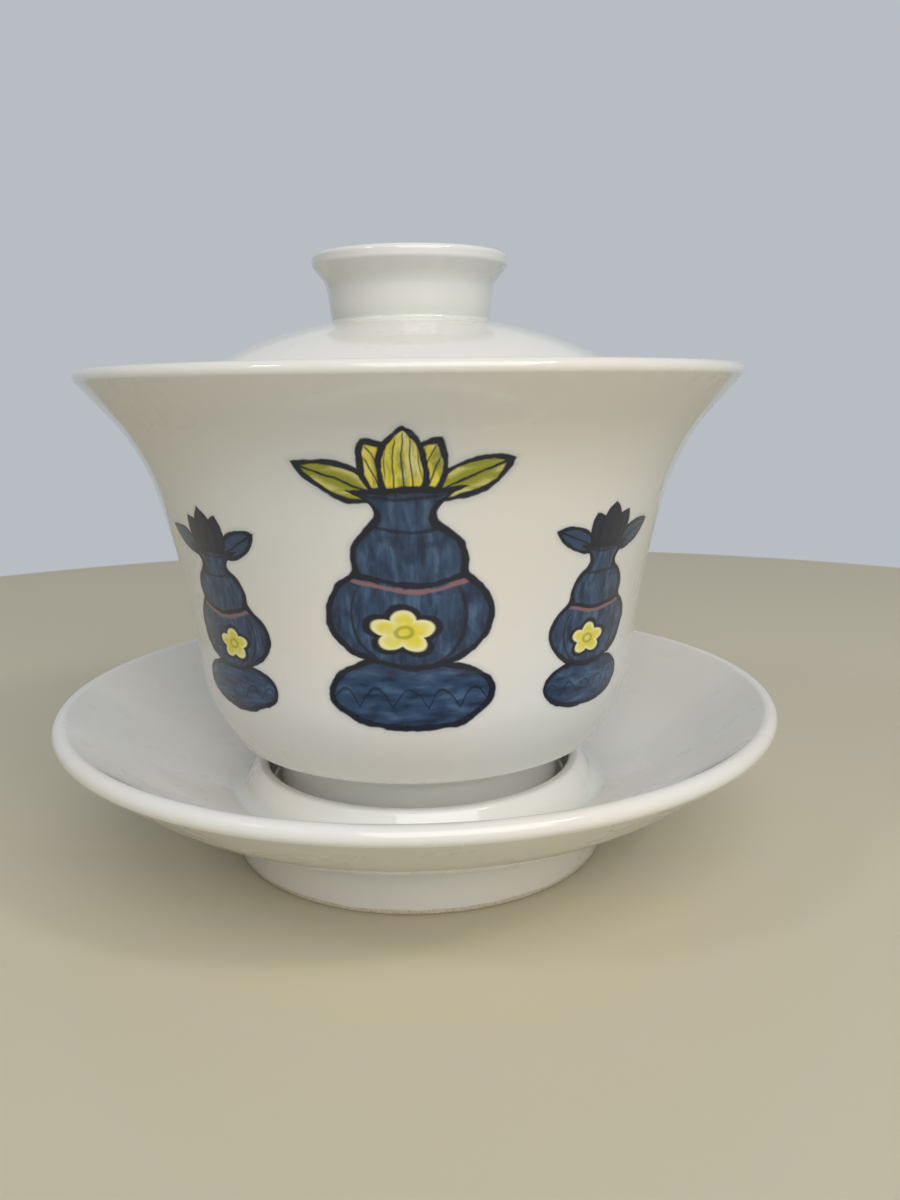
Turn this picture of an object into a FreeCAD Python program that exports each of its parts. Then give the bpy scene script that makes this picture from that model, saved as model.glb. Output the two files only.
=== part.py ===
import FreeCAD, Part
import math
import os
import re
import Sketcher
from collections import namedtuple
from FreeCAD import Vector

# A gaiwan: a lidded tea bowl on a saucer, in thrown porcelain. Millimetres, +Z up, origin at the
# middle of the face that the saucer stands on. The three pieces are turned about the Z axis.
#
# Each piece has its own zero height: the saucer's is the table, the bowl's is the underside of its
# foot, and the lid's is the middle of its rounded edge. Slopes are in degrees.

SIZES = {
    # Saucer: a dish on a foot, with a raised ring that keeps the bowl in the middle.
    "saucer_radius": 55.0,
    "saucer_height": 24.4,
    "saucer_wall": 2.6,
    "saucer_foot_radius": 29.3,
    "saucer_foot_width": 3.4,
    "saucer_hollow_height": 6.0,
    "well_floor_height": 9.4,
    "well_ring_height": 4.4,
    "well_ring_width": 1.9,
    "well_ring_spread": 2.4,
    "well_clearance": 1.8,
    "dish_bend_radius": 41.0,
    "dish_bend_height": 14.6,
    "dish_curve": 60.0,
    # Bowl: a bell that stands on a foot, and opens in a flare that carries the lid.
    "bowl_wall": 2.0,
    "bowl_foot_radius": 22.2,
    "bowl_foot_width": 2.8,
    "bowl_foot_height": 7.2,
    "bowl_hollow_height": 6.6,
    "bowl_floor_height": 10.0,
    "collar_step": 1.2,
    "collar_height": 1.3,
    "heel_radius": 28.0,
    "heel_height": 8.6,
    "heel_curve": 3.9,
    "belly_radius": 32.85,
    "belly_height": 16.3,
    "belly_curve": 19.3,
    "waist_radius": 34.9,
    "waist_height": 35.0,
    "waist_curve": 117.0,
    "shoulder_curve": 28.0,
    "flare_slope": 41.0,
    "flare_length": 13.4,
    "rim_radius": 48.24,
    "rim_height": 63.25,
    # Lid: a dome that rests inside the shoulder's curve, with a hollow ring for a knob.
    # The seat share is how far up the shoulder's curve the lid touches.
    "lid_seat_share": 0.73,
    "lid_clearance": 0.15,
    "lid_wall": 2.0,
    "lid_edge_slope": 35.5,
    "lid_top_slope": 10.8,
    "lid_curve": 55.0,
    "lid_crown_curve": 50.0,
    "knob_radius": 14.45,
    "knob_height": 9.5,
    "knob_lip_height": 1.6,
    "knob_lip_width": 2.4,
    "knob_waist_radius": 11.7,
    "knob_neck_radius": 12.4,
    "knob_neck_height": 5.6,
    "knob_neck_curve": 4.0,
    "knob_hollow_radius": 9.2,
    "knob_hollow_depth": 7.6,
    "knob_hollow_curve": 3.0,
    # Roundings that a sponge leaves on the clay.
    "foot_round": 0.6,
    "cove_round": 1.0,
    "dish_cove_round": 2.0,
    "collar_round": 0.3,
    "knob_round": 0.7,
}

# The share of a corner's shorter run that its rounding may take. Where the roundings at the two
# ends of a run differ much, one gets a wide share and its neighbour a narrow one.
EVEN_SHARE = 0.49
WIDE_SHARE = 0.9
NARROW_SHARE = 0.09
NECK_SHARE = 0.75
UNDER_SHARE = 0.24

# A corner of a turned outline: expressions for its radius, its height above the piece's zero and
# its rounding, and the share of its shorter run that the rounding may take.
Corner = namedtuple("Corner", "name radius height rounding share", defaults=("0", EVEN_SHARE))


def from_sheet(expression):
    """The expression with each size read from the sheet."""
    def read(word):
        return f"Sizes.{word[0]}" if word[0] in SIZES else word[0]
    return re.sub(r"[a-z][a-z_]*", read, expression)


def lean(low, high):
    """How far the run between two corners leans out from the vertical."""
    return f"(atan2({high.radius} - {low.radius}; {high.height} - {low.height}) / 1 deg)"


def moved(corner, name, distance, slope, **changes):
    """A corner at a distance to the left of another, across a run that leans by a slope."""
    return corner._replace(
        name=name,
        radius=f"({corner.radius} - ({distance}) * cos({slope}))",
        height=f"({corner.height} + ({distance}) * sin({slope}))",
        **changes)


def other_side(before, corner, after, wall, name, rounding):
    """The corner on the other side of a wall, to the left of the way the outline runs."""
    first = lean(before, corner)
    second = lean(corner, after)
    distance = f"({wall}) / cos((({second}) - ({first})) / 2)"
    return moved(corner, name, distance, f"(({first}) + ({second})) / 2", rounding=rounding)


def make_sheet(doc):
    sheet = doc.addObject("Spreadsheet::Sheet", "Sizes")
    for row, (name, size) in enumerate(SIZES.items(), start=1):
        sheet.set(f"A{row}", name)
        sheet.set(f"B{row}", str(size))
        sheet.setAlias(f"B{row}", name)
    doc.recompute()
    return sheet


def rounded(before, corner, after, radius):
    """The arc that rounds a corner, and whether it starts on the run before the corner."""
    back = (before - corner).normalize()
    ahead = (after - corner).normalize()
    half = back.getAngle(ahead) / 2
    centre = corner + (back + ahead).normalize() * (radius / math.sin(half))
    reach = radius / math.tan(half)
    first = corner + back * reach - centre
    last = corner + ahead * reach - centre
    forward = first.cross(last).z > 0
    start, end = (first, last) if forward else (last, first)
    circle = Part.Circle(centre, Vector(0, 0, 1), radius)
    arc = Part.ArcOfCircle(circle, math.atan2(start.y, start.x), math.atan2(end.y, end.x))
    return arc, forward


def limited(wanted, before, corner, after):
    """A corner's rounding as an expression, no larger than its runs leave room for."""
    def coordinates(entry):
        radius = "0 mm" if entry.radius == "0" else f"Constraints.{entry.name}_radius"
        height = "0 mm" if entry.height == "0" else f"Constraints.{entry.name}_height"
        return radius, height
    here = coordinates(corner)
    back, ahead = ([f"({there} - {own})" for there, own in zip(coordinates(entry), here)]
                   for entry in (before, after))
    lengths = [f"hypot({run[0]}; {run[1]})" for run in (back, ahead)]
    along = f"({back[0]} * {ahead[0]} + {back[1]} * {ahead[1]})"
    half = f"acos({along} / ({lengths[0]} * {lengths[1]})) / 2"
    return f"min({wanted} * 1 mm; {corner.share} * min({lengths[0]}; {lengths[1]}) * tan({half}))"


def bind_last(sketch, name, expression):
    """Names the newest constraint and ties it to an expression."""
    sketch.renameConstraint(sketch.ConstraintCount - 1, name)
    sketch.setExpression(f"Constraints.{name}", expression)


def pin(sketch, element, corner, point):
    """Ties the first end of an element to a corner's radius and height."""
    ways = (("radius", "X", -2, corner.radius, point.x), ("height", "Y", -1, corner.height, point.y))
    for name, way, axis, expression, size in ways:
        if expression == "0":
            sketch.addConstraint(Sketcher.Constraint("PointOnObject", element, 1, axis))
        else:
            sketch.addConstraint(Sketcher.Constraint("Distance" + way, -1, 1, element, 1, size))
            bind_last(sketch, f"{corner.name}_{name}", from_sheet(expression))


def draw_outline(sketch, sheet, corners):
    """Draws a closed outline of straight runs, with an arc at each corner that is rounded."""
    def size_of(expression):
        return float(sheet.evalExpression(from_sheet(expression)))

    points = [Vector(size_of(corner.radius), size_of(corner.height), 0) for corner in corners]
    count = len(corners)
    ends = [[point, point] for point in points]
    arcs = {}
    for index, corner in enumerate(corners):
        if corner.rounding == "0":
            continue
        before, here, after = points[index - 1], points[index], points[(index + 1) % count]
        runs = min((before - here).Length, (after - here).Length)
        most = corner.share * runs * math.tan((before - here).getAngle(after - here) / 2)
        arc, forward = rounded(before, here, after, min(size_of(corner.rounding), most))
        arcs[index] = arc, forward
        ends[index] = [arc.StartPoint, arc.EndPoint] if forward else [arc.EndPoint, arc.StartPoint]

    lines = [Part.LineSegment(ends[index][1], ends[(index + 1) % count][0]) for index in range(count)]
    runs = sketch.addGeometry(lines, False)
    bends = {}
    for index, corner in enumerate(corners):
        run_in, run_out = runs[index - 1], runs[index]
        if index not in arcs:
            sketch.addConstraint(Sketcher.Constraint("Coincident", run_in, 2, run_out, 1))
            pin(sketch, run_out, corner, points[index])
            continue
        arc, forward = arcs[index]
        bend = sketch.addGeometry(arc, False)
        bends[bend] = index
        tip = sketch.addGeometry(Part.Point(points[index]), True)
        arc_in, arc_out = (1, 2) if forward else (2, 1)
        sketch.addConstraint([
            Sketcher.Constraint("Tangent", run_in, 2, bend, arc_in),
            Sketcher.Constraint("Tangent", bend, arc_out, run_out, 1),
            Sketcher.Constraint("PointOnObject", tip, 1, run_in),
            Sketcher.Constraint("PointOnObject", tip, 1, run_out),
        ])
        pin(sketch, tip, corner, points[index])
    for bend, index in bends.items():
        corner = corners[index]
        sketch.addConstraint(Sketcher.Constraint("Radius", bend, arcs[index][0].Radius))
        wanted = from_sheet(f"({corner.rounding})")
        expression = limited(wanted, corners[index - 1], corner, corners[(index + 1) % count])
        bind_last(sketch, f"{corner.name}_rounding", expression)


def turned_piece(doc, sheet, name, corners, height="0"):
    """A body turned from an outline, standing at a height."""
    body = doc.addObject("PartDesign::Body", name)
    body.Label = name
    upright = next(plane for plane in body.Origin.OriginFeatures if plane.Role == "XZ_Plane")
    sketch = body.newObject("Sketcher::SketchObject", name + "_outline")
    sketch.AttachmentSupport = [(upright, "")]
    sketch.MapMode = "FlatFace"
    draw_outline(sketch, sheet, corners)
    turning = body.newObject("PartDesign::Revolution", name + "_turning")
    turning.Profile = sketch
    turning.ReferenceAxis = (sketch, ["V_Axis"])
    turning.Angle = 360
    body.setExpression("Placement.Base.z", from_sheet(height))
    doc.recompute()
    return body


def saucer_corners():
    foot_inside = "(saucer_foot_radius - saucer_foot_width)"
    ring_inside = "(bowl_foot_radius + well_clearance)"
    ring_outside = f"({ring_inside} + well_ring_width)"
    ring_top = "(well_floor_height + well_ring_height)"
    ring_round = "well_ring_width / 2"
    half = "saucer_wall / 2"
    dish_start = Corner("dish_start", f"({ring_outside} + well_ring_spread)", "well_floor_height",
                        "dish_cove_round")
    bend = Corner("dish_bend", "dish_bend_radius", "dish_bend_height", "dish_curve")
    # The dish meets the rounded edge as a tangent, half a wall from the middle of the edge.
    edge = Corner("edge", f"(saucer_radius - {half})", f"(saucer_height - {half})", half)
    reach = (f"hypot({edge.radius} - dish_bend_radius; {edge.height} - dish_bend_height)")
    slope = f"({lean(bend, edge)} - asin({half} / {reach}) / 1 deg)"
    end = edge._replace(radius=f"({edge.radius} + {half} * sin({slope}))",
                        height=f"({edge.height} + {half} * cos({slope}))")
    lip_over = moved(end, "lip_over", half, slope)
    lip_under = moved(end, "lip_under", f"(0 - {half})", slope)
    under_bend = other_side(dish_start, bend, lip_over, "0 - saucer_wall", "under_bend",
                            "dish_curve + saucer_wall")
    foot_top = (f"({under_bend.height} - ({under_bend.radius} - saucer_foot_radius)"
                f" / tan({lean(dish_start, bend)}))")
    return [
        Corner("hollow_middle", "0", "saucer_hollow_height"),
        Corner("hollow_edge", foot_inside, "saucer_hollow_height", "cove_round"),
        Corner("foot_inside", foot_inside, "0", "foot_round"),
        Corner("foot_outside", "saucer_foot_radius", "0", "foot_round"),
        Corner("foot_top", "saucer_foot_radius", foot_top, "cove_round"),
        under_bend,
        lip_under,
        lip_over,
        bend,
        dish_start,
        Corner("ring_outside", ring_outside, ring_top, ring_round),
        Corner("ring_inside", ring_inside, ring_top, ring_round),
        Corner("well_edge", ring_inside, "well_floor_height", "cove_round"),
        Corner("well_middle", "0", "well_floor_height"),
    ]


def bowl_side():
    """The corners of the bowl's outer side, from its heel to its rim."""
    # The rim's corner stands out so that the rounded rim has its full radius.
    round_rim = "bowl_wall / 2"
    rim = Corner(
        "rim",
        f"(rim_radius + {round_rim} * (sin(flare_slope) + cos(flare_slope) - 1))",
        f"(rim_height + {round_rim} * (cos(flare_slope) - sin(flare_slope)))",
        round_rim)
    return {
        "heel": Corner("heel", "heel_radius", "heel_height", "heel_curve"),
        "belly": Corner("belly", "belly_radius", "belly_height", "belly_curve"),
        "waist": Corner("waist", "waist_radius", "waist_height", "waist_curve"),
        "shoulder": Corner("shoulder", f"({rim.radius} - flare_length * sin(flare_slope))",
                           f"({rim.height} - flare_length * cos(flare_slope))", "shoulder_curve"),
        "rim": rim,
    }


def bowl_corners():
    heel, belly, waist, shoulder, rim = bowl_side().values()
    rim_inside = moved(rim, "rim_inside", "bowl_wall", "flare_slope")
    # An arc's other side keeps its centre, so its radius grows or shrinks by the wall.
    in_shoulder = other_side(waist, shoulder, rim, "bowl_wall", "in_shoulder",
                             "shoulder_curve + bowl_wall")
    in_waist = other_side(belly, waist, shoulder, "bowl_wall", "in_waist", "waist_curve + bowl_wall")
    in_belly = other_side(heel, belly, waist, "bowl_wall", "in_belly", "belly_curve - bowl_wall")
    floor_edge = (f"({in_belly.radius} - ({in_belly.height} - bowl_floor_height)"
                  f" * tan({lean(heel, belly)}))")
    foot_inside = "(bowl_foot_radius - bowl_foot_width)"
    collar = "(bowl_foot_radius + collar_step)"
    collar_top = "(bowl_foot_height + collar_height)"
    return [
        Corner("hollow_middle", "0", "bowl_hollow_height"),
        Corner("hollow_edge", foot_inside, "bowl_hollow_height", "cove_round"),
        Corner("foot_inside", foot_inside, "0", "foot_round"),
        Corner("foot_outside", "bowl_foot_radius", "0", "foot_round"),
        Corner("foot_top", "bowl_foot_radius", "bowl_foot_height", "cove_round"),
        Corner("collar_foot", collar, "bowl_foot_height", "collar_round"),
        Corner("collar_top", collar, collar_top, "collar_round"),
        heel,
        belly,
        waist,
        shoulder,
        rim,
        rim_inside,
        in_shoulder,
        in_waist,
        in_belly,
        Corner("floor_edge", floor_edge, "bowl_floor_height", "heel_curve"),
        Corner("floor_middle", "0", "bowl_floor_height"),
    ]


def lid_seat():
    """The middle of the lid's edge in the bowl, as a radius and a height. The round edge lies
    against the curve inside the shoulder."""
    _, _, waist, shoulder, rim = bowl_side().values()
    low = lean(waist, shoulder)
    curve = "(bowl_outline.Constraints.shoulder_rounding / 1 mm)"
    reach = f"({curve} * tan((flare_slope - {low}) / 2))"
    centre_radius = f"({shoulder.radius} + {reach} * sin(flare_slope) + {curve} * cos(flare_slope))"
    centre_height = f"({shoulder.height} + {reach} * cos(flare_slope) - {curve} * sin(flare_slope))"
    apart = f"({curve} + bowl_wall + lid_wall / 2 + lid_clearance)"
    slope = f"({low} + (flare_slope - {low}) * lid_seat_share)"
    return f"({centre_radius} - {apart} * cos({slope}))", f"({centre_height} + {apart} * sin({slope}))"


def lid_corners(seat_radius):
    half = "lid_wall / 2"
    edge = Corner(
        "edge",
        f"({seat_radius} + {half} * (cos(lid_edge_slope) + sin(lid_edge_slope)))",
        f"({half} * (cos(lid_edge_slope) - sin(lid_edge_slope)))",
        half)
    under_edge = Corner("under_edge", f"({edge.radius} - lid_wall * sin(lid_edge_slope))",
                        f"({edge.height} - lid_wall * cos(lid_edge_slope))", half)
    bend_radius = f"((knob_waist_radius + {seat_radius}) / 2)"
    bend = Corner("bend", bend_radius,
                  f"({edge.height} + ({edge.radius} - {bend_radius}) * tan(lid_edge_slope))",
                  "lid_curve", WIDE_SHARE)
    middle = "(lid_edge_slope + lid_top_slope) / 2"
    depth = "lid_wall / cos((lid_edge_slope - lid_top_slope) / 2)"
    under_bend = Corner("under_bend", f"({bend.radius} - {depth} * sin({middle}))",
                        f"({bend.height} - {depth} * cos({middle}))", "lid_curve", WIDE_SHARE)
    base = f"({bend.height} + ({bend.radius} - knob_waist_radius) * tan(lid_top_slope))"
    crown = f"({under_bend.height} + ({under_bend.radius} - knob_waist_radius) * tan(lid_top_slope))"
    top = f"({base} + knob_height)"
    hollow_floor = f"({top} - knob_hollow_depth)"
    return [
        Corner("crown_middle", "0", crown),
        Corner("crown", "knob_waist_radius", crown, "lid_crown_curve", NARROW_SHARE),
        under_bend,
        under_edge,
        edge,
        bend,
        Corner("knob_base", "knob_waist_radius", base, "cove_round", NARROW_SHARE),
        Corner("knob_neck", "knob_neck_radius", f"({base} + knob_neck_height)", "knob_neck_curve",
               NECK_SHARE),
        Corner("knob_under", "knob_radius", f"({top} - knob_lip_height)", "knob_round", UNDER_SHARE),
        Corner("knob_edge", "knob_radius", top, "knob_round"),
        Corner("knob_mouth", "(knob_radius - knob_lip_width)", top, "knob_round"),
        Corner("knob_floor", "knob_hollow_radius", hollow_floor, "knob_hollow_curve"),
        Corner("knob_middle", "0", hollow_floor),
    ]


def check(doc, pieces):
    """Stops before anything is written if any object failed."""
    for item in doc.Objects:
        if "Invalid" in item.State or "Error" in item.State:
            raise RuntimeError(f"{item.Label} failed: {item.State}")
    for piece in pieces:
        shape = piece.Shape
        if shape.isNull() or not shape.isValid() or len(shape.Solids) != 1:
            raise RuntimeError(f"{piece.Label} is not one valid solid")


def main():
    doc = FreeCAD.newDocument("gaiwan")
    sheet = make_sheet(doc)
    saucer = turned_piece(doc, sheet, "saucer", saucer_corners())
    bowl = turned_piece(doc, sheet, "bowl", bowl_corners(), "well_floor_height")
    seat_radius, seat_height = lid_seat()
    lid = turned_piece(doc, sheet, "lid", lid_corners(seat_radius), f"well_floor_height + {seat_height}")
    pieces = [saucer, bowl, lid]
    check(doc, pieces)
    os.makedirs("parts", exist_ok=True)
    for piece in pieces:
        piece.Shape.exportStep(f"parts/{piece.Label}.step")
        print(f"{piece.Label}: {piece.Shape.Volume:.0f} mm3")


main()
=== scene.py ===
import math

import bmesh
import bpy
import numpy as np
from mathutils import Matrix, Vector


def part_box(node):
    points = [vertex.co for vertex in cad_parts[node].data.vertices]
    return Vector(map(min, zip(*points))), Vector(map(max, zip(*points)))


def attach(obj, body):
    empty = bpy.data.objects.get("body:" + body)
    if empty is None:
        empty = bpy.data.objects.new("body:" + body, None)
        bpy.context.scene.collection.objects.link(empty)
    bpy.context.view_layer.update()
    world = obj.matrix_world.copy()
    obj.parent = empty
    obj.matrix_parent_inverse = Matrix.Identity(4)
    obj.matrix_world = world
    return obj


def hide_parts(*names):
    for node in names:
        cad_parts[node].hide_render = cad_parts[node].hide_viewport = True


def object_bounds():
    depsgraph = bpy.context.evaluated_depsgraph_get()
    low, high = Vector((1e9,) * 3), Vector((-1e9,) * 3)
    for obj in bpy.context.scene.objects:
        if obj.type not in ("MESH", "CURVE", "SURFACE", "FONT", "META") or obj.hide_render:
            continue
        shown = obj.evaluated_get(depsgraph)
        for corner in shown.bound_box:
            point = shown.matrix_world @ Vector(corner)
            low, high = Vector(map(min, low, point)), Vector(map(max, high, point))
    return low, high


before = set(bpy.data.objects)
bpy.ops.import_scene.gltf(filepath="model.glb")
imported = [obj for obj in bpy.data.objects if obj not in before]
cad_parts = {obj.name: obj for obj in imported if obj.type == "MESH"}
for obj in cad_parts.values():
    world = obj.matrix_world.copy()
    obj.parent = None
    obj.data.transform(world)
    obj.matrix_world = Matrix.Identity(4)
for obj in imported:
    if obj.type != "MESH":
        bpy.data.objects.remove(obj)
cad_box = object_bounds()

# A gaiwan in glazed porcelain: a saucer, a bowl with a painted vase at its front and one on each
# side, and a lid. Metres and +Z up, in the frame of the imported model. The front is -Y.
MM = 0.001


def srgb(red, green, blue):
    """A colour given as it shows on a screen, 0 to 255, as the shader takes it."""
    shown = (part / 255 for part in (red, green, blue))
    linear = (part / 12.92 if part <= 0.04045 else ((part + 0.055) / 1.055) ** 2.4
              for part in shown)
    return (*linear, 1.0)


# ---------------------------------------------------------------------------------------------
# Shapes: each piece is turned again from its CAD node's own section, on smooth curves.

SEGMENTS = 256                    # steps round a turned piece
LONGEST_STEP = 0.9 * MM           # between two rings
SHARPEST_STEP = math.radians(6)   # between two rings
STRAIGHT_RUN = 2.5                # how much longer than the next a run is when it is straight
FLAT_TURN = math.radians(0.3)     # a smaller turn than this is no corner
WELD = 0.001 * MM
THROWN_WAVE = 0.06 * MM           # how far the wheel and the kiln leave a wall from a circle
WAVE_FULL_RADIUS = 15 * MM        # the wave fades out inside this
FACET_ROOM = 0.015 * MM           # the CAD node's facets cut this much off a circle, or less
GLAZE_LINE = 0.9 * MM             # a foot is bare clay up to this far above where it stands
GLAZE_STEP = 0.08 * MM            # the glaze's thickness where it ends
GLAZE_STEP_WIDTH = 0.25 * MM
POOL_REACH = 1.6 * MM             # how far glaze pools from a hollow corner
POOL_FULL_TURN = math.radians(60)


def section(node):
    """A CAD node's section beside the axis, as (radius, height) from its underside to its top."""
    shape = bmesh.new()
    shape.from_mesh(node.data)
    bmesh.ops.remove_doubles(shape, verts=shape.verts[:], dist=WELD)

    def cut(normal, clear):
        parts = shape.verts[:] + shape.edges[:] + shape.faces[:]
        return bmesh.ops.bisect_plane(shape, geom=parts, dist=WELD, plane_co=(0, 0, 0),
                                      plane_no=normal, clear_inner=clear)["geom_cut"]

    cut((1, 0, 0), True)
    edges = [part for part in cut((0, 1, 0), False) if isinstance(part, bmesh.types.BMEdge)]
    beside = {}
    for edge in edges:
        first, last = edge.verts
        beside.setdefault(first, []).append(last)
        beside.setdefault(last, []).append(first)
    ends = [vert for vert, others in beside.items() if len(others) == 1]
    here = min(ends, key=lambda vert: vert.co.z)
    chain, before = [], None
    while here is not None:
        chain.append((max(here.co.x, 0.0), here.co.z))
        onward = [vert for vert in beside[here] if vert is not before]
        before, here = here, (onward[0] if onward else None)
    shape.free()
    return np.array(chain)


def turn_between(first, last):
    """The angle from one direction to another, positive to the left."""
    return math.atan2(first[0] * last[1] - first[1] * last[0], float(np.dot(first, last)))


def turned_by(direction, angle):
    c, s = math.cos(angle), math.sin(angle)
    return np.array([c * direction[0] - s * direction[1], s * direction[0] + c * direction[1]])


def without_flat_points(points):
    """The points with those left out that lie on a straight run."""
    kept = [points[0]]
    for here, after in zip(points[1:-1], points[2:]):
        step_in, step_out = here - kept[-1], after - here
        if np.hypot(*step_in) > WELD and abs(turn_between(step_in, step_out)) > FLAT_TURN:
            kept.append(here)
    return np.array(kept + [points[-1]])


def smooth_curve(points):
    """A smooth curve through a section's points. A run much longer than the next one is straight,
    and the others are chords of arcs."""
    steps = np.diff(points, axis=0)
    lengths = np.hypot(*steps.T)
    ways = steps / lengths[:, None]
    tangents = [ways[0]]
    for index in range(1, len(ways)):
        before, after = lengths[index - 1], lengths[index]
        turn = turn_between(ways[index - 1], ways[index])
        if before > STRAIGHT_RUN * after:
            share = 0.0
        elif after > STRAIGHT_RUN * before:
            share = 1.0
        else:
            share = before / (before + after)
        tangents.append(turned_by(ways[index - 1], turn * share))
    tangents.append(ways[-1])
    curve = [points[0]]
    for index, run in enumerate(lengths):
        start, end = points[index], points[index + 1]
        leave, arrive = tangents[index] * run, tangents[index + 1] * run
        turn = abs(turn_between(leave, arrive))
        count = max(1, math.ceil(run / LONGEST_STEP), math.ceil(turn / SHARPEST_STEP))
        for t in np.arange(1, count + 1) / count:
            curve.append((2 * t**3 - 3 * t**2 + 1) * start + (t**3 - 2 * t**2 + t) * leave
                         + (3 * t**2 - 2 * t**3) * end + (t**3 - t**2) * arrive)
    return np.array(curve)


def ease(value):
    value = np.clip(value, 0, 1)
    return value * value * (3 - 2 * value)


def hollowness(curve):
    """How deep in a hollow corner each point lies, from 0 to 1: glaze runs and pools there."""
    steps = np.diff(curve, axis=0)
    along = np.concatenate([[0], np.cumsum(np.hypot(*steps.T))])
    turns = np.zeros(len(curve))
    for index in range(1, len(curve) - 1):
        turns[index] = turn_between(steps[index - 1], steps[index])
    near = np.exp(-(((along[:, None] - along[None, :]) / POOL_REACH) ** 2))
    return np.clip(-(near @ turns) / POOL_FULL_TURN, 0, 1)


# The bands of the bake map: first and last height, from 0 to 1. Rows that aren't painted go round
# in one run, and painted rows in two halves, the back and the front.
PLAIN_BAND = (0.0, 0.3)
BACK_BAND = (0.31, 0.49)
FRONT_BAND = (0.5, 1.0)


def lay_out_for_bake(mesh, curve, painted):
    """Gives a turned mesh a map to bake its material through."""
    steps = np.hypot(*np.diff(curve, axis=0).T)[:, None]
    step, half = np.arange(SEGMENTS), SEGMENTS // 2
    painted = np.array(painted, bool)[:, None] & (step >= 0)
    wide = np.where(painted, 1 / half, 1 / SEGMENTS)
    left = np.where(painted, step % half, step) * wide
    low, high = np.zeros_like(wide), np.zeros_like(wide)
    for region, (start, end) in ((~painted, PLAIN_BAND), (painted & (step < half), BACK_BAND),
                                 (painted & (step >= half), FRONT_BAND)):
        lengths = np.where(region, steps, 0.0)
        tops = np.cumsum(lengths, axis=0)
        scale = (end - start) / np.maximum(tops[-1], WELD)
        high[region] = (start + tops * scale)[region]
        low[region] = (start + (tops - lengths) * scale)[region]
    right, middle = left + wide, left + wide / 2

    def corners(rows, *places):
        pairs = [np.stack([x[rows], y[rows]], axis=-1) for x, y in places]
        return np.stack(pairs, axis=-2).ravel()

    places = [corners(slice(0, 1), (middle, low), (right, high), (left, high)),
              corners(slice(1, -1), (left, low), (right, low), (right, high), (left, high)),
              corners(slice(-1, None), (left, low), (right, low), (middle, high))]
    layer = mesh.uv_layers.new(name="OFBake")
    layer.uv.foreach_set("vector", np.concatenate(places).astype(np.float32))


def wave(angle, height, seed):
    """How far in the wheel's wave goes at each place, from 0 to 1."""
    turns = (0.55 * np.sin(2 * angle + seed)
             + 0.3 * np.sin(3 * angle + 0.7 * seed + height / (14 * MM))
             + 0.15 * np.sin(5 * angle + 1.9 * seed - height / (9 * MM)))
    return (1 + turns) / 2


def turned_faces(rings):
    """The faces of a shell of rings that closes on a point at each end, from its first end."""
    step = np.arange(SEGMENTS)
    after = (step + 1) % SEGMENTS
    low = 1 + SEGMENTS * np.arange(rings - 1)[:, None]
    high = low + SEGMENTS
    walls = np.stack([low + step, low + after, high + after, high + step], axis=-1)
    under = np.stack([0 * step, 1 + after, 1 + step], axis=-1)
    end = 0 * step + 1 + SEGMENTS * rings
    over = np.stack([high[-1] + step, high[-1] + after, end], axis=-1)
    return [*under.tolist(), *walls.reshape(-1, 4).tolist(), *over.tolist()]


def turned_shell(name, node, materials, foot=False, painted=None):
    """Turns a piece from its CAD node's section. The curve runs from the underside's middle, round
    the outside, to the top's middle. painted says whether a row at a height, and with a way
    along the curve, is painted."""
    curve = smooth_curve(without_flat_points(section(node)))
    way = np.gradient(curve, axis=0)
    way /= np.hypot(*way.T)[:, None]
    lowest = curve[:, 1].min()
    if foot:
        bare = ease((lowest + GLAZE_LINE - curve[:, 1]) / GLAZE_STEP_WIDTH)
        curve[:, 0] -= GLAZE_STEP * bare * way[:, 1]
    pooled = hollowness(curve)
    count = len(curve)
    inner = slice(1, count - 1)
    angle = np.arange(SEGMENTS) * (2 * math.pi / SEGMENTS)
    radius, height = curve[inner, 0][:, None], curve[inner, 1][:, None]
    inward = FACET_ROOM + THROWN_WAVE * wave(angle, height, sum(map(ord, name)))
    round_radius = radius - inward * np.minimum(1, radius / WAVE_FULL_RADIUS)
    rings = np.stack([round_radius * np.cos(angle), round_radius * np.sin(angle),
                      height + 0 * angle], axis=-1).reshape(-1, 3)
    points = np.concatenate([[[0, 0, curve[0, 1]]], rings, [[0, 0, curve[-1, 1]]]])
    mesh = bpy.data.meshes.new(name)
    mesh.from_pydata(points.tolist(), [], turned_faces(count - 2))
    for material in materials:
        mesh.materials.append(material)
    if painted:
        heights = (curve[:-1, 1] + curve[1:, 1]) / 2
        is_painted = [painted(*row) for row in zip(heights, way)]
        slots = np.repeat(np.array(is_painted, np.int32), SEGMENTS)
        mesh.polygons.foreach_set("material_index", slots)
        lay_out_for_bake(mesh, curve, is_painted)
    spread = np.concatenate([pooled[:1], np.repeat(pooled[inner], SEGMENTS), pooled[-1:]])
    attribute = mesh.attributes.new("pooled", "FLOAT", "POINT")
    attribute.data.foreach_set("value", spread.astype(np.float32))
    mesh.shade_smooth()
    mesh.update()
    piece = bpy.data.objects.new(name, mesh)
    bpy.context.scene.collection.objects.link(piece)
    return piece


# ---------------------------------------------------------------------------------------------
# Fields: numbers that vary over a surface. Arithmetic on them adds nodes to the material.

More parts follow.
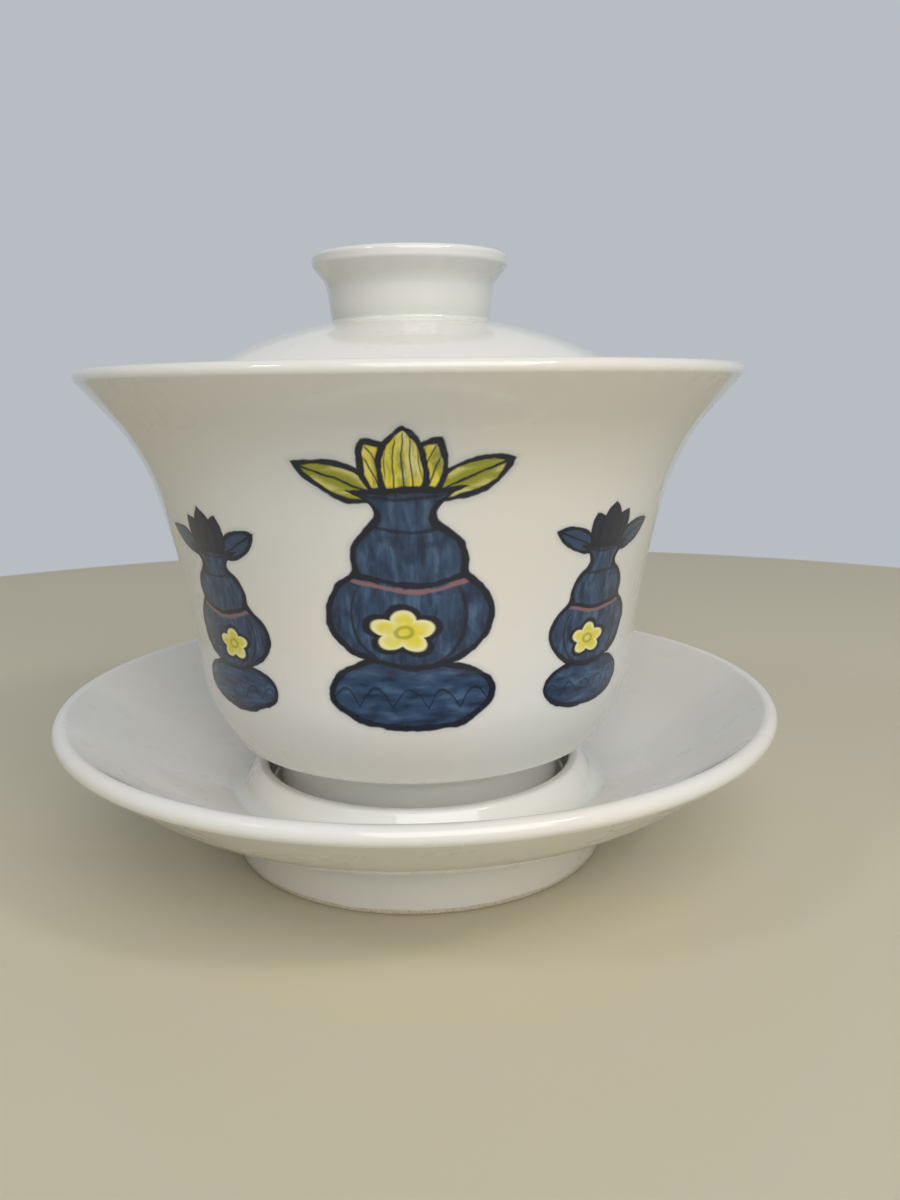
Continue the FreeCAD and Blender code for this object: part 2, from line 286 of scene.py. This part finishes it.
class Field:
    def __init__(self, tree, socket):
        self.tree, self.socket = tree, socket

    def math(self, operation, *others):
        node = self.tree.nodes.new("ShaderNodeMath")
        node.operation = operation
        for entry, value in zip(node.inputs, (self, *others)):
            plug(self.tree, entry, value)
        return Field(self.tree, node.outputs[0])

    def __add__(self, other):
        return self.math("ADD", other)

    def __sub__(self, other):
        return self.math("SUBTRACT", other)

    def __mul__(self, other):
        return self.math("MULTIPLY", other)

    def __truediv__(self, other):
        return self.math("DIVIDE", other)

    def __abs__(self):
        return self.math("ABSOLUTE")

    def __rsub__(self, other):
        return self * -1.0 + other

    def least(self, other):
        return self.math("MINIMUM", other)

    def most(self, other):
        return self.math("MAXIMUM", other)

    def above(self, other):
        return self.math("GREATER_THAN", other)

    def ramp(self, start, end, low=0.0, high=1.0):
        """Goes smoothly from low at start to high at end."""
        node = self.tree.nodes.new("ShaderNodeMapRange")
        node.interpolation_type = "SMOOTHSTEP"
        for entry, value in zip(node.inputs, (self, start, end, low, high)):
            plug(self.tree, entry, value)
        return Field(self.tree, node.outputs[0])


def plug(tree, entry, value):
    if isinstance(value, Field):
        tree.links.new(value.socket, entry)
    else:
        entry.default_value = value


def joined(x, y, z=0.0):
    """A vector of fields."""
    tree = next(part.tree for part in (x, y, z) if isinstance(part, Field))
    node = tree.nodes.new("ShaderNodeCombineXYZ")
    for entry, value in zip(node.inputs, (x, y, z)):
        plug(tree, entry, value)
    return Field(tree, node.outputs[0])


def split(vector):
    node = vector.tree.nodes.new("ShaderNodeSeparateXYZ")
    plug(vector.tree, node.inputs[0], vector)
    return [Field(vector.tree, output) for output in node.outputs]


def length(x, y):
    vector = joined(x, y)
    node = vector.tree.nodes.new("ShaderNodeVectorMath")
    node.operation = "LENGTH"
    plug(vector.tree, node.inputs[0], vector)
    return Field(vector.tree, node.outputs["Value"])


def noise_node(vector, size, detail, seed):
    node = vector.tree.nodes.new("ShaderNodeTexNoise")
    node.noise_dimensions = "4D"
    plug(vector.tree, node.inputs["Vector"], vector)
    node.inputs["W"].default_value = seed
    node.inputs["Scale"].default_value = 1 / size
    node.inputs["Detail"].default_value = detail
    return node


def noise(vector, size, detail=2.0, seed=0.0):
    """Noise from about 0.2 to 0.8, with features of a size in the vector's units."""
    return Field(vector.tree, noise_node(vector, size, detail, seed).outputs["Fac"])


def noise_pair(vector, size, detail=1.0, seed=0.0):
    """Two separate noises, from about -0.3 to 0.3."""
    colour = noise_node(vector, size, detail, seed).outputs["Color"]
    first, second, _ = split(Field(vector.tree, colour))
    return first - 0.5, second - 0.5


def blend(below, above, share):
    """A colour over another, at a share of its strength."""
    tree = share.tree if isinstance(share, Field) else below.tree
    node = tree.nodes.new("ShaderNodeMix")
    node.data_type = "RGBA"
    plug(tree, node.inputs["Factor"], share)
    colours = [entry for entry in node.inputs if entry.type == "RGBA"]
    plug(tree, colours[0], below)
    plug(tree, colours[1], above)
    return Field(tree, next(output for output in node.outputs if output.type == "RGBA"))


# ---------------------------------------------------------------------------------------------
# The painting, in millimetres: a vase on a low stand, with a blossom on its belly and a lotus bud
# between two leaves in its mouth. A smaller vase stands on each side of it.

SIDE_ANGLE = math.radians(44.5)   # from the front to a side vase's middle
SIDE_STARTS = math.radians(27)    # from here on the wall belongs to a side vase
SIDE_SCALE = 0.72
VASE_FOOT = 28.5                  # the painted stand's lowest point, above the table
LINE_WIDTH = 0.72
LINE_EDGE = 0.26                  # how softly a line ends
WASH_EDGE = 0.22                  # how softly a wash ends
DRIFT, DRIFT_SIZE = 2.0, 9.0      # the brush wanders slowly
SHAKE, SHAKE_SIZE = 0.42, 1.6     # and trembles

# Ellipses: the middle, across and up from the vase's foot, and half the width and height.
STAND = (0.3, 4.5), (10.7, 4.6)
BELLY = (0.2, 15.0), (10.4, 6.9)
FLANK = (0.2, 15.0), (7.3, 7.2)
CHEST = (0.3, 22.6), (6.9, 4.6)
MIDDLE = 0.3                      # the vase's middle line
MOUTH_HEIGHT, MOUTH_HALF_WIDTH, MOUTH_HALF_HEIGHT = 27.2, 3.3, 3.2
MOUTH_OPENS, MOUTH_FLARE = 27.4, 0.32
CHEST_BLEND, MOUTH_BLEND = 2.2, 1.6
# Leaves: the root, the lean, the middle along the leaf, and half the length and width.
LEAF = (2.4, 29.6), math.radians(24), (5.6, 0.0), (5.6, 1.9)
FRONT_PETAL = (0.3, 28.6), math.radians(90), (4.3, 0.0), (4.9, 2.7)
BACK_PETAL = (0.4, 28.9), math.radians(62), (4.0, 0.0), (4.3, 2.3)
VEIN_STEP, VEIN_SPREAD = 0.62, 0.05
PANEL_WIDTH, PANEL_FOOT, PANEL_HEIGHT = 4.3, 2.6, 2.4
# Rings on the vase: the height, the share of a line's width, and the strength.
RINGS = (18.9, 1.0, 0.95), (25.6, 0.6, 0.8), (29.3, 0.5, 0.8)
RING_HANG = -0.03
RIBBON_HEIGHT = 18.15
BLOSSOM, BLOSSOM_STRETCH = (-0.6, 12.9), 1.4
PETALS, PETAL_ROOT, PETAL_LENGTH, EYE_RADIUS = 5, 1.95, 1.05, 0.75

INK = srgb(8, 16, 38)
DEEP_BLUE = srgb(12, 30, 58)
BLUE = srgb(41, 67, 100)
PALE_BLUE = srgb(80, 107, 140)
HALO = srgb(140, 160, 186)
YELLOW = srgb(228, 214, 66)
CREAM = srgb(240, 236, 184)
OLIVE = srgb(150, 152, 44)
STRAW = srgb(208, 204, 124)
RIBBON = srgb(140, 104, 108)


def ellipse(u, v, middle, half):
    """The distance outside an ellipse, near its edge."""
    x, y = u - middle[0], v - middle[1]
    near = length(x / half[0], y / half[1])
    slope = length(x / half[0] ** 2, y / half[1] ** 2)
    return near * (near - 1.0) / slope


def pointed(u, v, middle, half):
    """The distance outside a leaf that runs along u, with a point at each end."""
    radius = (half[0] ** 2 + half[1] ** 2) / (2 * half[1])
    return length(u - middle[0], abs(v - middle[1]) + (radius - half[1])) - radius


def leaning(u, v, root, lean, middle, half):
    """The ways along and across a leaf that leans at an angle, and the distance outside it."""
    c, s = math.cos(lean), math.sin(lean)
    x, y = u - root[0], v - root[1]
    along, across = x * c + y * s, y * c - x * s
    return along, across, pointed(along, across, middle, half)


def paint(white, place):
    """The colour of the painted wall. place is the object's own coordinates in millimetres."""
    x, y, z = split(place)
    angle = x.math("ARCTAN2", y * -1.0)
    radius = length(x, y)
    side = abs(angle).above(SIDE_STARTS)
    turned = angle + side * (abs(angle) - angle - SIDE_ANGLE)
    enlarged = side * (1 / SIDE_SCALE - 1) + 1.0

    # The hand that holds the brush is not quite steady.
    drift_u, drift_v = noise_pair(place, DRIFT_SIZE, seed=3.0)
    shake_u, shake_v = noise_pair(place, SHAKE_SIZE, seed=7.0)
    u = radius * turned * enlarged + drift_u * DRIFT + shake_u * SHAKE
    v = (z - VASE_FOOT) * enlarged + drift_v * DRIFT + shake_v * SHAKE
    press = noise(place, 2.4, seed=11.0).ramp(0.3, 0.7, 0.7, 1.3)
    width = press * LINE_WIDTH * (side * 0.1 + 1.0)

    def inside(distance, soft=WASH_EDGE):
        return distance.ramp(soft / 2, -soft / 2)

    def line(distance, share=1.0):
        edge = abs(distance) - width * (share / 2)
        return edge.ramp(LINE_EDGE / 2, -LINE_EDGE / 2)

    upright = noise(joined(u * 2.2, v * 0.6, angle), 2.2, 4.0, seed=1.0)
    level = noise(joined(u * 0.5, v * 2.0, angle), 2.2, 4.0, seed=2.0)
    cloud = noise(place, 2.6, 4.0, seed=5.0)

    def wash(colour, distance, streaks, depth=1.0):
        """Blue laid on in strokes, deeper towards the outline."""
        blue = blend(BLUE, PALE_BLUE, streaks.ramp(0.48, 0.72, 0.0, 0.8))
        blue = blend(blue, DEEP_BLUE, streaks.ramp(0.5, 0.32) * 0.85)
        blue = blend(blue, DEEP_BLUE, cloud.ramp(0.48, 0.68, 0.0, 0.7 * depth))
        blue = blend(blue, DEEP_BLUE, distance.ramp(-1.6, -0.2, 0.0, 0.45))
        return blend(colour, blue, inside(distance))

    stand = ellipse(u, v, *STAND)
    belly = ellipse(u, v, *BELLY)
    chest = ellipse(u, v, *CHEST)
    opened = (v - MOUTH_OPENS).most(0.0)
    mouth_side = abs(u - MIDDLE) - MOUTH_HALF_WIDTH - opened * opened * MOUTH_FLARE
    mouth = mouth_side.most(abs(v - MOUTH_HEIGHT) - MOUTH_HALF_HEIGHT)
    vase = belly.math("SMOOTH_MIN", chest, CHEST_BLEND).math("SMOOTH_MIN", mouth, MOUTH_BLEND)

    # Two leaves lean out of the mouth. The bud stands between them: a wide petal in front of two.
    _, leaf_v, leaf = leaning(abs(u - MIDDLE), v, *LEAF)
    tip_u, tip_v, front = leaning(u, v, *FRONT_PETAL)
    _, back_v, back = leaning(abs(u - MIDDLE), v, *BACK_PETAL)
    whole = stand.least(vase).least(front).least(back).least(leaf)
    colour = blend(white, HALO, whole.ramp(1.3, 0.0, 0.0, 0.34))

    green = blend(STRAW, OLIVE, level.ramp(0.4, 0.6))
    green = blend(green, OLIVE, leaf.ramp(-1.3, -0.5, 1.0, 0.0))
    colour = blend(colour, blend(green, BLUE, side), inside(leaf))
    colour = blend(colour, INK, line(leaf_v, 0.45) * inside(leaf))
    colour = blend(colour, INK, line(leaf, 0.85))

    # The bud is yellow with dark veins at the front, and blue on the side vases.
    straw = blend(YELLOW, OLIVE, upright.ramp(0.4, 0.66))
    straw = blend(straw, CREAM, cloud.ramp(0.45, 0.7, 0.0, 0.6))
    bud = blend(straw, blend(DEEP_BLUE, INK, upright.ramp(0.4, 0.6)), side)
    for petal, across in ((back, back_v), (front, tip_v)):
        veins = (across + across * tip_u * VEIN_SPREAD).math("PINGPONG", VEIN_STEP).ramp(0.2, 0.06)
        colour = blend(colour, bud, inside(petal))
        colour = blend(colour, DEEP_BLUE, veins * inside(petal + 0.5, 0.5) * 0.8)
        colour = blend(colour, INK, line(petal))

    # The stand, with a rim and a row of petal panels.
    colour = wash(colour, stand, level, 0.7)
    panels = abs((u * (math.pi / PANEL_WIDTH)).math("COSINE"))
    panel_line = line(v - PANEL_FOOT - panels * PANEL_HEIGHT, 0.5)
    colour = blend(colour, INK, panel_line * inside(stand) * 0.75)
    colour = blend(colour, INK, line(stand, 1.15))

    # The vase, with two curved lines down its belly, rings on its chest and a ribbon at its waist.
    colour = wash(colour, vase, upright)
    flank = line(ellipse(u, v, *FLANK), 0.6) * inside(belly, 0.4) * v.ramp(19.5, 17.5)
    colour = blend(colour, INK, flank * 0.8)
    arch = v + (u - MIDDLE) * (u - MIDDLE) * RING_HANG
    for height, share, strength in RINGS:
        colour = blend(colour, INK, line(arch - height, share) * inside(vase, 0.4) * strength)
    colour = blend(colour, RIBBON, line(arch - RIBBON_HEIGHT, 0.8) * inside(vase, 0.4) * 0.85)
    colour = blend(colour, INK, line(vase, 1.15))

    # A blossom of five round petals.
    petal_u, petal_v = (u - BLOSSOM[0]) / BLOSSOM_STRETCH, v - BLOSSOM[1]
    way = petal_u.math("ARCTAN2", petal_v)
    lobes = abs((way * (PETALS / 2)).math("COSINE"))
    blossom = length(petal_u, petal_v) - PETAL_ROOT - lobes * PETAL_LENGTH
    yellow = blend(YELLOW, CREAM, blossom.ramp(-1.0, -0.15) * 0.85)
    yellow = blend(yellow, CREAM, cloud.ramp(0.45, 0.7, 0.0, 0.5))
    yellow = blend(yellow, OLIVE, line(length(petal_u, petal_v) - EYE_RADIUS, 0.5) * 0.7)
    colour = blend(colour, INK, blossom.ramp(0.95, 0.65))
    return blend(colour, yellow, inside(blossom, 0.35))


# ---------------------------------------------------------------------------------------------
# Glaze over white porcelain, and bare clay where a piece stands.

WARM_WHITE = srgb(229, 224, 215)
COOL_WHITE = srgb(224, 225, 222)
POOLED = srgb(206, 212, 202)
CLAY = srgb(214, 204, 186)
DARK_CLAY = srgb(190, 176, 154)
POOLED_SHARE = 0.6
RELIEF = 0.008 * MM               # how deep the glaze's unevenness is
COAT_ROUGHNESS = 0.045
BODY_GLOSS = 0.1                  # nearly all the gloss is the coat's
ROUGHNESS_RANGE = (0.26, 0.34)    # of the porcelain under the coat
CLAY_ROUGHER = 0.5                # the bare clay's added roughness
# Patch sizes in millimetres, and shares of the relief.
TINT_SIZE, GLOSS_SIZE = 30.0, 8.0
BROAD_SIZE = 14.0
SKIN_SIZE, SKIN_SHARE = 5.0, 0.25
WHEEL_SIZE, WHEEL_SHARE = 3.0, 0.12
GRAIN_SIZE, GRAIN_SHARE = 0.35, 1.5
EDGE_SIZE, EDGE_WANDER, EDGE_SOFTNESS = 5.0, 0.9, 0.08


def glaze(name, seed, foot=None, painted=False):
    """foot is the height that a piece stands at, where it has a bare foot."""
    material = bpy.data.materials.new(name)
    material.use_nodes = True
    tree = material.node_tree
    shader = tree.nodes["Principled BSDF"]
    coordinates = tree.nodes.new("ShaderNodeTexCoord")
    scaled = tree.nodes.new("ShaderNodeVectorMath")
    scaled.operation = "SCALE"
    scaled.inputs["Scale"].default_value = 1 / MM
    tree.links.new(coordinates.outputs["Object"], scaled.inputs[0])
    place = Field(tree, scaled.outputs[0])

    colour = blend(WARM_WHITE, COOL_WHITE, noise(place, TINT_SIZE, 1.0, seed).ramp(0.25, 0.75))
    attribute = tree.nodes.new("ShaderNodeAttribute")
    attribute.attribute_name = "pooled"
    pooled = Field(tree, attribute.outputs["Fac"])
    colour = blend(colour, POOLED, pooled * POOLED_SHARE)
    if painted:
        colour = paint(colour, place)
    skin = noise(place, SKIN_SIZE, 1.0, seed + 1)
    broad = noise(place, BROAD_SIZE, 1.0, seed + 2)
    x, y, z = split(place)
    wheel = noise(joined(length(x, y), z), WHEEL_SIZE, 1.0, seed + 3)
    relief = skin * SKIN_SHARE + broad + wheel * WHEEL_SHARE
    roughness = noise(place, GLOSS_SIZE, 2.0, seed + 4).ramp(0.3, 0.7, *ROUGHNESS_RANGE)
    coat = None
    if foot is not None:
        wander = (noise(place, EDGE_SIZE, 2.0, seed + 5) - 0.5) * EDGE_WANDER
        edge = z - foot / MM - GLAZE_LINE / MM - wander
        bare = edge.ramp(EDGE_SOFTNESS, -EDGE_SOFTNESS)
        grain = noise(place, GRAIN_SIZE, 3.0, seed + 6)
        clay = blend(CLAY, DARK_CLAY, grain.ramp(0.35, 0.75))
        colour = blend(colour, clay, bare)
        roughness = roughness + bare * CLAY_ROUGHER
        relief = relief + bare * grain * GRAIN_SHARE
        coat = 1.0 - bare
    bump = tree.nodes.new("ShaderNodeBump")
    bump.inputs["Strength"].default_value = 1.0
    bump.inputs["Distance"].default_value = RELIEF
    plug(tree, bump.inputs["Height"], relief)
    plug(tree, shader.inputs["Base Color"], colour)
    plug(tree, shader.inputs["Roughness"], roughness)
    tree.links.new(bump.outputs[0], shader.inputs["Normal"])
    tree.links.new(bump.outputs[0], shader.inputs["Coat Normal"])
    plug(tree, shader.inputs["Coat Weight"], 1.0 if coat is None else coat)
    shader.inputs["Coat Roughness"].default_value = COAT_ROUGHNESS
    shader.inputs["Specular IOR Level"].default_value = BODY_GLOSS
    return material


# ---------------------------------------------------------------------------------------------
# The three pieces.

PAINT_STARTS = 16 * MM            # above the bowl's foot
CLIMBS = 0.2                      # how steeply the outer wall climbs, at least


def on_painted_wall(height, way):
    """The bowl's outer wall, above the heel, where the curve climbs on its outer side."""
    return way[1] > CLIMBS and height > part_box("bowl")[0].z + PAINT_STARTS


def show(name, body, slot, materials, **options):
    piece = turned_shell(name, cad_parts[body], materials, **options)
    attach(piece, body)
    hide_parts(body)
    return piece


show("saucer_porcelain", "saucer", "saucer_glaze",
     [glaze("saucer_glaze", 10.0, foot=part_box("saucer")[0].z)], foot=True)
show("bowl_porcelain", "bowl", "bowl_glaze",
     [glaze("bowl_glaze", 20.0, foot=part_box("bowl")[0].z),
      glaze("bowl_painted_glaze", 20.0, painted=True)], foot=True, painted=on_painted_wall)
show("lid_porcelain", "lid", "lid_glaze", [glaze("lid_glaze", 30.0)])

# ---------------------------------------------------------------------------------------------
# The stage.

FLOOR_RADIUS = 300 * MM
FLOOR_COLOUR = srgb(204, 197, 174)
FLOOR_ROUGHNESS = 0.55
BACKGROUND = srgb(184, 189, 195)
SKY = srgb(232, 238, 246)
SKY_RANGE = (0.2, 0.28)           # its strength low down and overhead
WARM_LAMP = srgb(255, 251, 245)
COOL_LAMP = srgb(246, 249, 255)
LAMP_DISTANCE = 0.9


def plain_material(name, colour, roughness):
    material = bpy.data.materials.new(name)
    material.use_nodes = True
    shader = material.node_tree.nodes["Principled BSDF"]
    shader.inputs["Base Color"].default_value = colour
    shader.inputs["Roughness"].default_value = roughness
    return material


def make_floor():
    disc = bmesh.new()
    bmesh.ops.create_circle(disc, cap_ends=True, segments=128, radius=FLOOR_RADIUS)
    mesh = bpy.data.meshes.new("floor")
    disc.to_mesh(mesh)
    disc.free()
    mesh.materials.append(plain_material("floor", FLOOR_COLOUR, FLOOR_ROUGHNESS))
    floor = bpy.data.objects.new("floor", mesh)
    floor.location.z = cad_box[0].z
    bpy.context.scene.collection.objects.link(floor)


def make_world():
    """A soft sky that lights the object. The camera, gloss and glass see the plain background."""
    world = bpy.data.worlds.new("studio")
    world.use_nodes = True
    tree = world.node_tree
    tree.nodes.clear()
    output = tree.nodes.new("ShaderNodeOutputWorld")
    seen = tree.nodes.new("ShaderNodeBackground")
    seen.inputs["Color"].default_value = BACKGROUND
    light = tree.nodes.new("ShaderNodeBackground")
    light.inputs["Color"].default_value = SKY
    ray = tree.nodes.new("ShaderNodeTexCoord")
    _, _, up = split(Field(tree, ray.outputs["Generated"]))
    plug(tree, light.inputs["Strength"], up.ramp(-0.1, 0.9, *SKY_RANGE))
    path = tree.nodes.new("ShaderNodeLightPath")
    camera, glossy, through = (Field(tree, path.outputs[f"Is {kind} Ray"])
                               for kind in ("Camera", "Glossy", "Transmission"))
    choice = tree.nodes.new("ShaderNodeMixShader")
    plug(tree, choice.inputs[0], camera.most(glossy).most(through))
    tree.links.new(light.outputs[0], choice.inputs[1])
    tree.links.new(seen.outputs[0], choice.inputs[2])
    tree.links.new(choice.outputs[0], output.inputs["Surface"])
    bpy.context.scene.world = world


def make_lamp(name, azimuth, elevation, size, power, colour):
    """A square soft box that faces the object. Azimuth 0 is in front, and 90 to the right."""
    middle = (cad_box[0] + cad_box[1]) / 2
    a, e = math.radians(azimuth), math.radians(elevation)
    way = Vector((math.sin(a) * math.cos(e), -math.cos(a) * math.cos(e), math.sin(e)))
    data = bpy.data.lights.new(name, "AREA")
    data.size = size
    data.energy = power
    data.color = colour[:3]
    lamp = bpy.data.objects.new(name, data)
    lamp.location = middle + way * LAMP_DISTANCE
    lamp.rotation_mode = "QUATERNION"
    lamp.rotation_quaternion = way.to_track_quat("Z", "Y")
    bpy.context.scene.collection.objects.link(lamp)


CAMERA_PLACE = (5.3 * MM, -154.4 * MM, 69.9 * MM)
CAMERA_DOWN = math.radians(11.65)
CAMERA_ROLL = math.radians(-0.72)


def make_camera():
    """The photograph's view: near, and from just under the rim, looking a little down."""
    data = bpy.data.cameras.new("camera")
    data.lens = 30
    data.sensor_width = 36
    data.clip_start, data.clip_end = 10 * MM, 10
    camera = bpy.data.objects.new("camera", data)
    camera.location = CAMERA_PLACE
    camera.rotation_euler = (math.radians(90) - CAMERA_DOWN, 0, 0)
    camera.rotation_euler.rotate_axis("Z", CAMERA_ROLL)
    bpy.context.scene.collection.objects.link(camera)
    bpy.context.scene.camera = camera


make_floor()
make_world()
make_lamp("lamp_front", 14, 36, 0.8, 6.4, WARM_LAMP)
make_lamp("lamp_behind", 180, 50, 0.9, 0.35, COOL_LAMP)
make_lamp("lamp_left", -52, 42, 0.11, 0.7, COOL_LAMP)
make_lamp("lamp_right", 50, 42, 0.11, 1.2, WARM_LAMP)
make_camera()
bpy.context.scene.view_settings.view_transform = "Standard"
